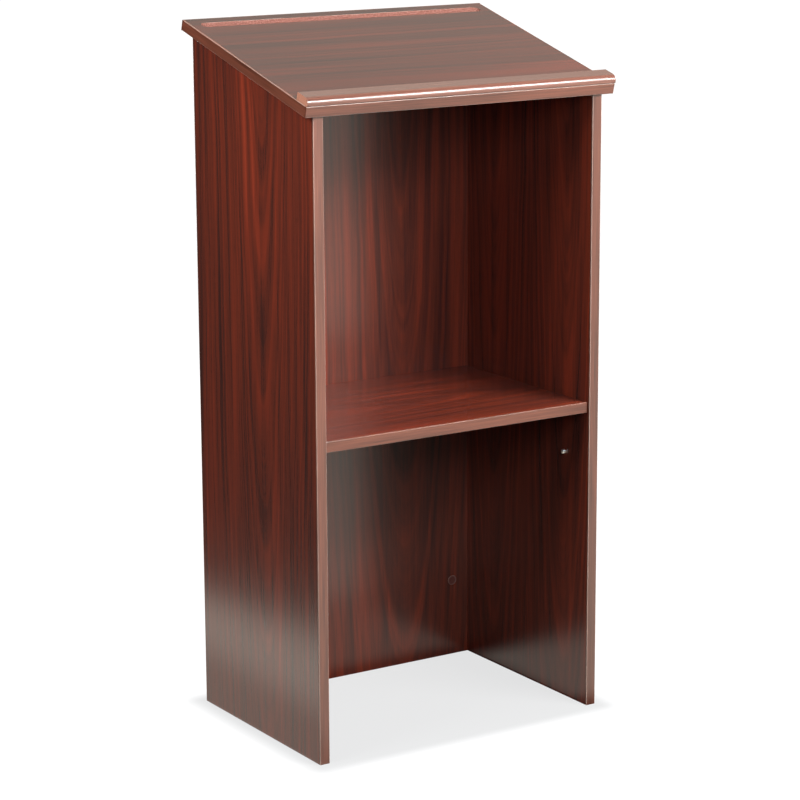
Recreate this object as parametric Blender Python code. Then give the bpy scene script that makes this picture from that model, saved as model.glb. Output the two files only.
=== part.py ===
"""A free-standing presentation lectern of laminated board, with a slanted top and one loose shelf.

Everything is in metres. X runs to the reader's right, Y away from the reader and Z up. The origin is
on the floor, at the middle of the lectern's footprint. The reader stands on the -Y side, which is open.
"""

from math import cos, pi, sin, tan

import bmesh
import bpy
from mathutils import Matrix, Vector

# Overall size
OVERALL_WIDTH = 0.584
OVERALL_DEPTH = 0.400
OVERALL_HEIGHT = 1.168
TILT = 15 * pi / 180
BOARD = 0.018
GAP = 0.0003

# Edge bands: strips glued on the boards' edges, with rounded outer corners
BAND = 0.003
BAND_ROUND = 0.0012
BAND_STEPS = 4

# Where the side panels stand under the top
SIDE_OVERHANG = 0.0175
FRONT_OVERHANG = 0.0065
REAR_OVERHANG = 0.005

# Shelf
SHELF_TOP = 0.5316
SHELF_SETBACK = 0.005
SHELF_SIDE_PLAY = 0.0015
SHELF_REAR_PLAY = 0.001

# Paper stop: a moulding with a flat top and a round nose that stands a little proud of the top's edge
STOP_WIDTH = 0.031
STOP_HEIGHT = 0.0134
STOP_PROUD = 0.0015
STOP_NOSE_LENGTH = 0.012
STOP_NOSE_HEIGHT = 0.010
STOP_HEEL = 0.0023
STOP_BACK_ROUND = 0.0012
NOSE_STEPS = 10
CORNER_STEPS = 4

# Pencil groove: the path of a round-nosed cutter along the top, measured from the top's rear edge
GROOVE_WIDTH = 0.020
GROOVE_DEPTH = 0.006
GROOVE_FROM_REAR = 0.031
GROOVE_END_MARGIN = 0.0195
GROOVE_SEGMENTS = 36
GROOVE_END_STEPS = 9
GROOVE_TIP_ANGLE = 5 * pi / 180

# Cam fittings: a bolt in one board, caught by a cam that turns in the other, under a cover cap
CAM_REACH = 0.034
CAM_BORE_RADIUS = 0.0075
CAM_BORE_DEPTH = 0.0135
CAM_RADIUS = 0.0072
CAM_BOTTOM = -0.0131
CAM_TOP = -0.0015
CAM_SEGMENTS = 18
CAM_CHANNEL_INNER = 0.0022
CAM_CHANNEL_OUTER = 0.0060
CAM_CHANNEL_HALF_HEIGHT = 0.0029
CAM_SLOT_HALF_HEIGHT = 0.0019
CAM_SLOT_START = -22 * pi / 180
CAM_SLOT_TURN = 224 * pi / 180
CAM_SLOT_STEPS = 6
CAM_DRIVE_HALF_LENGTH = 0.0036
CAM_DRIVE_HALF_WIDTH = 0.0007
CAM_DRIVE_DEPTH = 0.0022
BOLT_BORE_RADIUS = 0.0040
BOLT_PILOT_RADIUS = 0.00355
BOLT_PILOT_DEPTH = 0.0114
BOLT_THREAD_RADIUS = 0.0032
BOLT_THREAD_LENGTH = 0.0110
BOLT_TIP_RADIUS = 0.0020
BOLT_TIP_LENGTH = 0.0012
BOLT_COLLAR_RADIUS = 0.0036
BOLT_COLLAR_LENGTH = 0.0015
BOLT_SHANK_RADIUS = 0.0029
BOLT_NECK_RADIUS = 0.0015
BOLT_NECK_LENGTH = 0.0026
BOLT_HEAD_RADIUS = 0.0025
BOLT_HEAD_LENGTH = 0.0024
BOLT_HEAD_CLEARANCE = 0.0030
BOLT_SEGMENTS = 10
CAP_RADIUS = 0.0087
CAP_HEIGHT = 0.0015
CAP_ROUND = 0.0008
CAP_SPIGOT_RADIUS = 0.0070
CAP_SPIGOT_LENGTH = 0.0010
CAP_SEGMENTS = 20
CAP_ROUND_STEPS = 2
BACK_CAM_LOWER = 0.139
BACK_CAM_UPPER = 1.005
TOP_CAM_FRONT = 0.118
TOP_CAM_REAR = 0.300

# Wood dowels
DOWEL_RADIUS = 0.0040
DOWEL_SHORT_END = 0.010
DOWEL_LONG_END = 0.020
DOWEL_CHAMFER = 0.001
DOWEL_SEGMENTS = 12
BACK_DOWEL_LOWER = 0.400
BACK_DOWEL_UPPER = 0.780
TOP_DOWEL_FRONT = 0.060
TOP_DOWEL_REAR = 0.345

# Shelf pins: metal studs pushed into the sides, an upper row under the shelf and a spare row below it
PIN_PLUG_RADIUS = 0.0025
PIN_HEAD_RADIUS = 0.00375
PIN_PLUG_LENGTH = 0.008
PIN_HEAD_LENGTH = 0.0062
PIN_PLUG_CHAMFER = 0.0005
PIN_DOME = 0.0018
PIN_DOME_STEPS = 3
PIN_DOME_ANGLE = 75 * pi / 180
PIN_FROM_FRONT = 0.0696
PIN_FROM_BACK_PANEL = 0.064
PIN_SEGMENTS = 14
SPARE_ROW_HEIGHT = 0.434

# Screws that hold the paper stop from underneath
SCREW_HEAD_RADIUS = 0.0038
SCREW_RIM = 0.0004
SCREW_TIP_RADIUS = 0.0006
SCREW_DRIVE_HALF_LENGTH = 0.0023
SCREW_DRIVE_HALF_WIDTH = 0.0006
SCREW_DRIVE_DEPTH = 0.0019
SCREW_SHANK_RADIUS = 0.0019
SCREW_LENGTH = 0.028
SCREW_SPREAD = 0.220
SCREW_SEGMENTS = 14

# Round holes, and the angle above which an edge looks sharp
HOLE_SEGMENTS = 12
SHARP_ANGLE = 35 * pi / 180

# Worked out from the above
HALF_WIDTH = OVERALL_WIDTH / 2
SIDE_OUTER = HALF_WIDTH - SIDE_OVERHANG
SIDE_INNER = SIDE_OUTER - BOARD
SIDE_MIDDLE = SIDE_OUTER - BOARD / 2


def arc(centre_u, centre_v, radius_u, radius_v, start, end, steps):
    """Points along part of an ellipse, both ends included."""
    points = []
    for step in range(steps + 1):
        angle = start + (end - start) * step / steps
        points.append((centre_u + radius_u * cos(angle), centre_v + radius_v * sin(angle)))
    return points


def stop_outline():
    """The paper stop's cross-section: distance behind the top's front edge, height over its surface."""
    nose_u = STOP_NOSE_LENGTH - STOP_PROUD
    nose_v = STOP_HEIGHT - STOP_NOSE_HEIGHT
    heel_u = STOP_HEEL - STOP_PROUD
    back_u = STOP_WIDTH - STOP_BACK_ROUND
    back_v = STOP_HEIGHT - STOP_BACK_ROUND
    outline = [(STOP_WIDTH, GAP)]
    outline += arc(back_u, back_v, STOP_BACK_ROUND, STOP_BACK_ROUND, 0, pi / 2, CORNER_STEPS)
    outline += arc(nose_u, nose_v, STOP_NOSE_LENGTH, STOP_NOSE_HEIGHT, pi / 2, pi, NOSE_STEPS)
    outline += arc(heel_u, STOP_HEEL + GAP, STOP_HEEL, STOP_HEEL, pi, 1.5 * pi, CORNER_STEPS)
    return outline


# The slanted top's own frame: along its underside from its front edge, and square to it
NOSE_REACH = min(u * cos(TILT) - (v + BOARD) * sin(TILT) for u, v in stop_outline())
EDGE_Y = -OVERALL_DEPTH / 2 - NOSE_REACH
TOP_LENGTH = (OVERALL_DEPTH / 2 - EDGE_Y + BAND_ROUND * (sin(TILT) - 1)) / cos(TILT) + BAND_ROUND
EDGE_Z = (
    OVERALL_HEIGHT
    - (TOP_LENGTH - BAND_ROUND) * sin(TILT)
    - (BOARD - BAND_ROUND) * cos(TILT)
    - BAND_ROUND
)
SIDE_FRONT = EDGE_Y + FRONT_OVERHANG
SIDE_REAR = OVERALL_DEPTH / 2 - REAR_OVERHANG
BACK_FRONT = SIDE_REAR - BOARD
BACK_MIDDLE = SIDE_REAR - BOARD / 2
UPHILL = Vector((0, cos(TILT), sin(TILT)))
OUTWARD = Vector((0, -sin(TILT), cos(TILT)))


def on_slope(x, along, above):
    """A place given by its distance up the top's underside and its height square to it."""
    return Vector((x, EDGE_Y, EDGE_Z)) + UPHILL * along + OUTWARD * above


def under_top(y):
    """Height just below the top's slanted underside."""
    return EDGE_Z + (y - EDGE_Y) * tan(TILT) - GAP


def clear_scene():
    for old in list(bpy.data.objects):
        bpy.data.objects.remove(old)


def finish(name, colour, roughness, metallic=0.0):
    material = bpy.data.materials.new(name)
    material.use_nodes = True
    shader = material.node_tree.nodes["Principled BSDF"]
    shader.inputs["Base Color"].default_value = (*colour, 1.0)
    shader.inputs["Roughness"].default_value = roughness
    shader.inputs["Metallic"].default_value = metallic
    material.diffuse_color = (*colour, 1.0)
    return material


def mesh_of(name, shape, smooth=False):
    """Turns a closed bmesh into a mesh with its faces pointing out."""
    bmesh.ops.recalc_face_normals(shape, faces=shape.faces)
    mesh = bpy.data.meshes.new(name)
    shape.to_mesh(mesh)
    shape.free()
    if smooth:
        mesh.shade_smooth()
        mesh.set_sharp_from_angle(angle=SHARP_ANGLE)
    return mesh


def lofted(rings, looped=False):
    """A closed solid through rings of points: capped at both ends, or joined end to start."""
    shape = bmesh.new()
    loops = [[shape.verts.new(point) for point in ring] for ring in rings]
    pairs = list(zip(loops, loops[1:]))
    if looped:
        pairs.append((loops[-1], loops[0]))
    else:
        shape.faces.new(loops[0])
        shape.faces.new(loops[-1])
    for first, second in pairs:
        for here in range(len(first)):
            after = (here + 1) % len(first)
            shape.faces.new((first[here], first[after], second[after], second[here]))
    return shape


def turned(profile, segments, looped=False):
    """A solid of revolution about Z from (radius, height) points."""
    rings = []
    for radius, height in profile:
        angles = [2 * pi * step / segments for step in range(segments)]
        rings.append([(radius * cos(angle), radius * sin(angle), height) for angle in angles])
    return lofted(rings, looped)


def prism(outline, start, end):
    """A solid between an outline's places at its two ends."""
    return lofted([[start(u, v) for u, v in outline], [end(u, v) for u, v in outline]])


def box_outline(low_u, low_v, high_u, high_v):
    return [(low_u, low_v), (high_u, low_v), (high_u, high_v), (low_u, high_v)]


def band_outline(length, thickness):
    """An edge band's cross-section: flat at the back (v = thickness), rounded corners in front (v = 0)."""
    r = BAND_ROUND
    outline = [(length, thickness), (0, thickness)]
    outline += arc(r, r, r, r, pi, 1.5 * pi, BAND_STEPS)
    outline += arc(length - r, r, r, r, 1.5 * pi, 2 * pi, BAND_STEPS)
    return outline


def place_of(origin, z_axis, x_axis):
    """A frame at origin with its Z and X along the given directions."""
    z_axis = Vector(z_axis).normalized()
    x_axis = Vector(x_axis).normalized()
    y_axis = z_axis.cross(x_axis)
    frame = Matrix((x_axis, y_axis, z_axis)).transposed().to_4x4()
    frame.translation = origin
    return frame


def add(name, mesh, material, frame=None, parent=None):
    piece = bpy.data.objects.new(name, mesh)
    bpy.context.collection.objects.link(piece)
    if not mesh.materials:
        mesh.materials.append(material)
    if frame is not None:
        piece.matrix_world = frame
    if parent is not None:
        piece.parent = parent
    return piece


def cut(piece, name, tools):
    """Cuts a group of separate solids, each given with its place, out of a piece."""
    group = bmesh.new()
    for mesh, frame in tools:
        start = len(group.verts)
        group.from_mesh(mesh)
        group.verts.ensure_lookup_table()
        bmesh.ops.transform(group, matrix=frame, verts=group.verts[start:])
    cutter = bpy.data.objects.new(name, mesh_of(name, group))
    bpy.context.collection.objects.link(cutter)
    cutter.hide_render = True
    cutter.display_type = "WIRE"
    boolean = piece.modifiers.new(name, "BOOLEAN")
    boolean.operation = "DIFFERENCE"
    boolean.solver = "EXACT"
    boolean.object = cutter
    return cutter


def hole_mesh(name, radius, depth, segments=HOLE_SEGMENTS):
    """A cutter that starts a little outside the face at z = 0 and goes down to -depth."""
    return mesh_of(name, turned([(radius, -depth), (radius, BAND)], segments))


def settled_mesh(name, piece):
    """The mesh that a piece has once its cuts are made; the piece and its cutters are then removed."""
    cutters = [modifier.object for modifier in piece.modifiers]
    graph = bpy.context.evaluated_depsgraph_get()
    mesh = bpy.data.meshes.new_from_object(piece.evaluated_get(graph))
    mesh.name = name
    for spent in [piece, *cutters]:
        bpy.data.objects.remove(spent)
    mesh.shade_smooth()
    mesh.set_sharp_from_angle(angle=SHARP_ANGLE)
    return mesh


def cross_outline(half_length, half_width):
    """A plus sign, anticlockwise."""
    quarter = [(half_length, -half_width), (half_length, half_width), (half_width, half_width)]
    outline = []
    for turn in range(4):
        c, s = cos(turn * pi / 2), sin(turn * pi / 2)
        outline += [(u * c - v * s, u * s + v * c) for u, v in quarter]
    return outline


def cam_lock_mesh(material):
    """The cam: Z points out of the board's face at z = 0, and the bolt comes in along +X."""
    body = [(CAM_RADIUS, CAM_BOTTOM), (CAM_RADIUS, CAM_TOP)]
    cam = add("cam_blank", mesh_of("cam_blank", turned(body, CAM_SEGMENTS)), material)
    waist = -BOARD / 2
    channel = [
        (CAM_CHANNEL_INNER, waist - CAM_CHANNEL_HALF_HEIGHT),
        (CAM_CHANNEL_OUTER, waist - CAM_CHANNEL_HALF_HEIGHT),
        (CAM_CHANNEL_OUTER, waist + CAM_CHANNEL_HALF_HEIGHT),
        (CAM_CHANNEL_INNER, waist + CAM_CHANNEL_HALF_HEIGHT),
    ]
    ring = mesh_of("cam_channel", turned(channel, CAM_SEGMENTS, looped=True))
    cut(cam, "cam_channel_cutter", [(ring, Matrix())])
    start, end = CAM_SLOT_START, CAM_SLOT_START + CAM_SLOT_TURN
    inner = (CAM_CHANNEL_INNER + CAM_CHANNEL_OUTER) / 2
    outer = CAM_RADIUS + BAND
    sector = arc(0, 0, outer, outer, start, end, CAM_SLOT_STEPS)
    sector += arc(0, 0, inner, inner, end, start, CAM_SLOT_STEPS)
    low, high = waist - CAM_SLOT_HALF_HEIGHT, waist + CAM_SLOT_HALF_HEIGHT
    slot = mesh_of("cam_slot", prism(sector, lambda u, v: (u, v, low), lambda u, v: (u, v, high)))
    cut(cam, "cam_slot_cutter", [(slot, Matrix())])
    cross = cross_outline(CAM_DRIVE_HALF_LENGTH, CAM_DRIVE_HALF_WIDTH)
    floor = CAM_TOP - CAM_DRIVE_DEPTH
    drive = mesh_of("cam_drive", prism(cross, lambda u, v: (u, v, floor), lambda u, v: (u, v, BAND)))
    cut(cam, "cam_drive_cutter", [(drive, Matrix())])
    return settled_mesh("cam_lock", cam)


def cam_bolt_mesh():
    """The bolt: z = 0 is the joint between the boards, and its head reaches up into the cam."""
    head_end = CAM_REACH - BOLT_HEAD_CLEARANCE
    head_start = head_end - BOLT_HEAD_LENGTH
    neck_start = head_start - BOLT_NECK_LENGTH
    profile = [
        (BOLT_TIP_RADIUS, -BOLT_THREAD_LENGTH),
        (BOLT_THREAD_RADIUS, BOLT_TIP_LENGTH - BOLT_THREAD_LENGTH),
        (BOLT_THREAD_RADIUS, 0),
        (BOLT_COLLAR_RADIUS, GAP),
        (BOLT_COLLAR_RADIUS, BOLT_COLLAR_LENGTH),
        (BOLT_SHANK_RADIUS, BOLT_COLLAR_LENGTH + GAP),
        (BOLT_SHANK_RADIUS, neck_start - GAP),
        (BOLT_NECK_RADIUS, neck_start),
        (BOLT_NECK_RADIUS, head_start),
        (BOLT_HEAD_RADIUS, head_start + GAP),
        (BOLT_HEAD_RADIUS, head_end),
    ]
    return mesh_of("cam_bolt", turned(profile, BOLT_SEGMENTS), smooth=True)


def cam_cap_mesh():
    """The cover cap: a thin dished disc with a spigot that plugs the mouth of the cam's bore."""
    edge_u, edge_v = CAP_RADIUS - CAP_ROUND, CAP_HEIGHT - CAP_ROUND
    profile = [(CAP_SPIGOT_RADIUS, -CAP_SPIGOT_LENGTH), (CAP_SPIGOT_RADIUS, GAP), (CAP_RADIUS, GAP)]
    profile += arc(edge_u, edge_v, CAP_ROUND, CAP_ROUND, 0, pi / 2, CAP_ROUND_STEPS)
    return mesh_of("cam_cap", turned(profile, CAP_SEGMENTS), smooth=True)


def dowel_mesh():
    """A dowel across a joint at z = 0: short end in a board's face, long end in the other's edge."""
    profile = [
        (DOWEL_RADIUS - DOWEL_CHAMFER, -DOWEL_SHORT_END),
        (DOWEL_RADIUS, DOWEL_CHAMFER - DOWEL_SHORT_END),
        (DOWEL_RADIUS, DOWEL_LONG_END - DOWEL_CHAMFER),
        (DOWEL_RADIUS - DOWEL_CHAMFER, DOWEL_LONG_END),
    ]
    return mesh_of("dowel", turned(profile, DOWEL_SEGMENTS), smooth=True)


def shelf_pin_mesh():
    """A shelf pin: the plug goes down into the side panel and the domed head stands out of it."""
    profile = [
        (PIN_PLUG_RADIUS - PIN_PLUG_CHAMFER, -PIN_PLUG_LENGTH),
        (PIN_PLUG_RADIUS, PIN_PLUG_CHAMFER - PIN_PLUG_LENGTH),
        (PIN_PLUG_RADIUS, GAP),
        (PIN_HEAD_RADIUS, GAP),
    ]
    rim = PIN_HEAD_LENGTH - PIN_DOME
    profile += arc(0, rim, PIN_HEAD_RADIUS, PIN_DOME, 0, PIN_DOME_ANGLE, PIN_DOME_STEPS)
    return mesh_of("shelf_pin", turned(profile, PIN_SEGMENTS), smooth=True)


def screw_profile(start, play):
    """A countersunk screw with its tip up; a lower start and some play make it the shape of its hole."""
    head, shank = SCREW_HEAD_RADIUS + play, SCREW_SHANK_RADIUS + play
    cone_end = GAP + SCREW_RIM + SCREW_HEAD_RADIUS - SCREW_SHANK_RADIUS
    return [
        (head, start),
        (head, GAP + SCREW_RIM + play),
        (shank, cone_end + play),
        (shank, SCREW_LENGTH - BAND + play),
        (SCREW_TIP_RADIUS + play, SCREW_LENGTH + play),
    ]


def screw_mesh(material):
    """A stop screw with a cross recess in its head."""
    blank = mesh_of("screw_blank", turned(screw_profile(GAP, 0), SCREW_SEGMENTS))
    screw = add("screw_blank", blank, material)
    cross = cross_outline(SCREW_DRIVE_HALF_LENGTH, SCREW_DRIVE_HALF_WIDTH)
    recess = prism(cross, lambda u, v: (u, v, -BAND), lambda u, v: (u, v, SCREW_DRIVE_DEPTH))
    cut(screw, "screw_recess_cutter", [(mesh_of("screw_recess", recess), Matrix())])
    return settled_mesh("stop_screw", screw)


def side_name(side):
    return "left" if side < 0 else "right"


def back_joint(side, height):
    """Where a fitting or dowel crosses from a side panel into the back panel's end."""
    return place_of((side * SIDE_INNER, BACK_MIDDLE, height), (-side, 0, 0), (0, -1, 0))


def back_cam(side, height):
    """A cam's place in the back panel's inner face, its X towards the bolt."""
    return place_of((side * (SIDE_INNER - CAM_REACH), BACK_FRONT, height), (0, -1, 0), (side, 0, 0))


def top_joint(side, along):
    """Where a fitting or dowel crosses from the top's underside into a side panel's top edge."""
    return place_of(on_slope(side * SIDE_MIDDLE, along, 0), -OUTWARD, (1, 0, 0))


def top_cam(side, along):
    """A cam's place in a side panel's inner face, its X towards the bolt."""
    return place_of(on_slope(side * SIDE_INNER, along, -CAM_REACH), (-side, 0, 0), OUTWARD)


def pin_place(side, height, y):
    return place_of((side * SIDE_INNER, y, height), (-side, 0, 0), (0, 0, 1))


def screw_place(x):
    """On the top's underside, pointing up into the paper stop."""
    return place_of(on_slope(x, STOP_WIDTH / 2, 0), OUTWARD, (1, 0, 0))


BACK_CAMS = {"lower": BACK_CAM_LOWER, "upper": BACK_CAM_UPPER}
TOP_CAMS = {"front": TOP_CAM_FRONT, "rear": TOP_CAM_REAR}
BACK_DOWELS = {"lower": BACK_DOWEL_LOWER, "upper": BACK_DOWEL_UPPER}
TOP_DOWELS = {"front": TOP_DOWEL_FRONT, "rear": TOP_DOWEL_REAR}
PIN_PLACES = {"front": SIDE_FRONT + PIN_FROM_FRONT, "rear": BACK_FRONT - PIN_FROM_BACK_PANEL}
PIN_ROWS = {"shelf_pin": SHELF_TOP - BOARD - GAP - PIN_HEAD_RADIUS, "spare_pin": SPARE_ROW_HEIGHT}
SCREW_PLACES = {"left": -SCREW_SPREAD, "middle": 0.0, "right": SCREW_SPREAD}


def make_side_panels(laminate):
    """The two side boards between their bands, bored for pins, dowels and fittings."""
    front, rear = SIDE_FRONT + BAND + GAP, SIDE_REAR - BAND - GAP
    outline = [(front, 0), (rear, 0), (rear, under_top(rear)), (front, under_top(front))]
    cam_bore = hole_mesh("cam_bore", CAM_BORE_RADIUS, CAM_BORE_DEPTH, CAM_SEGMENTS)
    pilot = hole_mesh("bolt_pilot", BOLT_PILOT_RADIUS, BOLT_PILOT_DEPTH)
    bolt_bore = hole_mesh("bolt_bore", BOLT_BORE_RADIUS, CAM_REACH)
    face_hole = hole_mesh("dowel_face_hole", DOWEL_RADIUS + GAP, DOWEL_SHORT_END + GAP)
    edge_hole = hole_mesh("dowel_edge_hole", DOWEL_RADIUS + GAP, DOWEL_LONG_END + GAP)
    pin_hole = hole_mesh("pin_hole", PIN_PLUG_RADIUS + GAP, PIN_PLUG_LENGTH + GAP)
    upside = Matrix.Rotation(pi, 4, "X")
    for side in (-1, 1):
        name = side_name(side) + "_side_panel"
        shape = prism(
            outline,
            lambda y, z: (side * SIDE_INNER, y, z),
            lambda y, z: (side * SIDE_OUTER, y, z),
        )
        panel = add(name, mesh_of(name, shape), laminate)
        cut(panel, name + "_cam_bores", [(cam_bore, top_cam(side, at)) for at in TOP_CAMS.values()])
        holes = [(pilot, back_joint(side, height)) for height in BACK_CAMS.values()]
        holes += [(face_hole, back_joint(side, height)) for height in BACK_DOWELS.values()]
        holes += [(bolt_bore, top_joint(side, along) @ upside) for along in TOP_CAMS.values()]
        holes += [(edge_hole, top_joint(side, along) @ upside) for along in TOP_DOWELS.values()]
        for height in PIN_ROWS.values():
            holes += [(pin_hole, pin_place(side, height, y)) for y in PIN_PLACES.values()]
        cut(panel, name + "_holes", holes)


def make_side_bands(band):
    """The strips down the front and rear edges of the sides, cut off along the top's slope."""
    outline = band_outline(BOARD, BAND)
    for side in (-1, 1):
        for end, edge, inward in (("front", SIDE_FRONT, 1), ("rear", SIDE_REAR, -1)):
            name = f"{side_name(side)}_side_{end}_band"
            low_x = min(side * SIDE_INNER, side * SIDE_OUTER)
            shape = prism(
                outline,
                lambda u, v: (low_x + u, edge + inward * v, 0),
                lambda u, v: (low_x + u, edge + inward * v, under_top(edge + inward * v)),
            )
            add(name, mesh_of(name, shape, smooth=True), band)


def make_back_panel(laminate):
    """The board between the sides, its top edge bevelled to follow the slope, bored for the cams."""
    half = SIDE_INNER - GAP
    outline = [
        (BACK_FRONT, 0),
        (SIDE_REAR, 0),
        (SIDE_REAR, under_top(SIDE_REAR)),
        (BACK_FRONT, under_top(BACK_FRONT)),
    ]
    shape = prism(outline, lambda y, z: (-half, y, z), lambda y, z: (half, y, z))
    panel = add("back_panel", mesh_of("back_panel", shape), laminate)
    cam_bore = hole_mesh("cam_bore", CAM_BORE_RADIUS, CAM_BORE_DEPTH, CAM_SEGMENTS)
    bolt_bore = hole_mesh("bolt_bore", BOLT_BORE_RADIUS, CAM_REACH)
    edge_hole = hole_mesh("dowel_edge_hole", DOWEL_RADIUS + GAP, DOWEL_LONG_END + GAP)
    upside = Matrix.Rotation(pi, 4, "X")
    bores = []
    holes = []
    for side in (-1, 1):
        for height in BACK_CAMS.values():
            bores.append((cam_bore, back_cam(side, height)))
            holes.append((bolt_bore, back_joint(side, height) @ upside))
        holes += [(edge_hole, back_joint(side, height) @ upside) for height in BACK_DOWELS.values()]
    cut(panel, "back_panel_cam_bores", bores)
    cut(panel, "back_panel_holes", holes)


def groove_mesh():
    """The pencil groove's cutter: a capsule along X, whose lower part dips into the surface."""
    half_width = GROOVE_WIDTH / 2
    radius = (half_width**2 + GROOVE_DEPTH**2) / (2 * GROOVE_DEPTH)
    half_length = HALF_WIDTH - GROOVE_END_MARGIN - half_width
    profile = []
    for end in (-1, 1):
        for beyond, out in arc(0, 0, radius, radius, GROOVE_TIP_ANGLE, pi / 2, GROOVE_END_STEPS)[::-end]:
            profile.append((out, end * (half_length + beyond)))
    frame = place_of(
        on_slope(0, TOP_LENGTH - GROOVE_FROM_REAR, BOARD + radius - GROOVE_DEPTH), (1, 0, 0), OUTWARD
    )
    return mesh_of("groove", turned(profile, GROOVE_SEGMENTS)), frame


def make_top_panel(laminate):
    """The slanted reading board inside its bands, with the pencil groove and the holes below."""
    half = HALF_WIDTH - BAND - GAP
    outline = box_outline(BAND + GAP, 0, TOP_LENGTH - BAND - GAP, BOARD)
    shape = prism(outline, lambda u, v: on_slope(-half, u, v), lambda u, v: on_slope(half, u, v))
    panel = add("top_panel", mesh_of("top_panel", shape), laminate)
    cut(panel, "pencil_groove", [groove_mesh()])
    pilot = hole_mesh("bolt_pilot", BOLT_PILOT_RADIUS, BOLT_PILOT_DEPTH)
    face_hole = hole_mesh("dowel_face_hole", DOWEL_RADIUS + GAP, DOWEL_SHORT_END + GAP)
    screw_hole = mesh_of("screw_hole", turned(screw_profile(-BAND, GAP), SCREW_SEGMENTS))
    holes = [(screw_hole, screw_place(x)) for x in SCREW_PLACES.values()]
    for side in (-1, 1):
        holes += [(pilot, top_joint(side, along)) for along in TOP_CAMS.values()]
        holes += [(face_hole, top_joint(side, along)) for along in TOP_DOWELS.values()]
    cut(panel, "top_panel_holes", holes)


def make_top_bands(band):
    """The strips round the top: front and rear run its full width, left and right fit between them."""
    ends = {"front": (0, 1), "rear": (TOP_LENGTH, -1)}
    for name, (edge, inward) in ends.items():
        shape = prism(
            band_outline(BOARD, BAND),
            lambda u, v: on_slope(-HALF_WIDTH, edge + inward * v, u),
            lambda u, v: on_slope(HALF_WIDTH, edge + inward * v, u),
        )
        name = f"top_{name}_band"
        add(name, mesh_of(name, shape, smooth=True), band)
    start, stop = BAND + GAP, TOP_LENGTH - BAND - GAP
    for side in (-1, 1):
        shape = prism(
            band_outline(BOARD, BAND),
            lambda u, v: on_slope(side * (HALF_WIDTH - v), start, u),
            lambda u, v: on_slope(side * (HALF_WIDTH - v), stop, u),
        )
        name = f"top_{side_name(side)}_band"
        add(name, mesh_of(name, shape, smooth=True), band)


def make_paper_stop(moulding):
    """The moulding along the top's front edge, with the pilot holes for its screws."""
    shape = prism(
        stop_outline(),
        lambda u, v: on_slope(-HALF_WIDTH, u, BOARD + v),
        lambda u, v: on_slope(HALF_WIDTH, u, BOARD + v),
    )
    stop = add("paper_stop", mesh_of("paper_stop", shape, smooth=True), moulding)
    screw_hole = mesh_of("screw_hole", turned(screw_profile(-BAND, GAP), SCREW_SEGMENTS))
    cut(stop, "paper_stop_holes", [(screw_hole, screw_place(x)) for x in SCREW_PLACES.values()])


def make_shelf(laminate, band):
    """The loose shelf and its front band, on an empty at the middle of the shelf's front edge."""
    slide = bpy.data.objects.new("shelf_slide", None)
    slide.location = (0, SIDE_FRONT + SHELF_SETBACK, SHELF_TOP)
    bpy.context.collection.objects.link(slide)
    half = SIDE_INNER - SHELF_SIDE_PLAY
    depth = BACK_FRONT - SHELF_REAR_PLAY - slide.location.y
    board = prism(
        box_outline(BAND + GAP, -BOARD, depth, 0), lambda y, z: (-half, y, z), lambda y, z: (half, y, z)
    )
    add("shelf_panel", mesh_of("shelf_panel", board), laminate, parent=slide)
    strip = prism(
        band_outline(BOARD, BAND), lambda u, v: (-half, v, u - BOARD), lambda u, v: (half, v, u - BOARD)
    )
    add("shelf_front_band", mesh_of("shelf_front_band", strip, smooth=True), band, parent=slide)


def make_cam_fittings(zinc, steel, plastic):
    """Each cam fitting's lock, bolt and cover cap, in the back panel and in the sides."""
    lock, bolt, cap = cam_lock_mesh(zinc), cam_bolt_mesh(), cam_cap_mesh()
    for side in (-1, 1):
        spots = {}
        for level, height in BACK_CAMS.items():
            spots[f"back_{side_name(side)}_{level}"] = back_cam(side, height), back_joint(side, height)
        for level, along in TOP_CAMS.items():
            spots[f"top_{side_name(side)}_{level}"] = top_cam(side, along), top_joint(side, along)
        for spot, (cam_frame, joint_frame) in spots.items():
            add("cam_lock_" + spot, lock, zinc, cam_frame)
            add("cam_bolt_" + spot, bolt, steel, joint_frame)
            add("cam_cap_" + spot, cap, plastic, cam_frame)


def make_dowels(beech):
    dowel = dowel_mesh()
    for side in (-1, 1):
        for level, height in BACK_DOWELS.items():
            add(f"dowel_back_{side_name(side)}_{level}", dowel, beech, back_joint(side, height))
        for level, along in TOP_DOWELS.items():
            add(f"dowel_top_{side_name(side)}_{level}", dowel, beech, top_joint(side, along))


def make_shelf_pins(nickel):
    pin = shelf_pin_mesh()
    for row, height in PIN_ROWS.items():
        for side in (-1, 1):
            for end, y in PIN_PLACES.items():
                add(f"{row}_{side_name(side)}_{end}", pin, nickel, pin_place(side, height, y))


def make_stop_screws(steel):
    screw = screw_mesh(steel)
    for name, x in SCREW_PLACES.items():
        add("stop_screw_" + name, screw, steel, screw_place(x))


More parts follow.
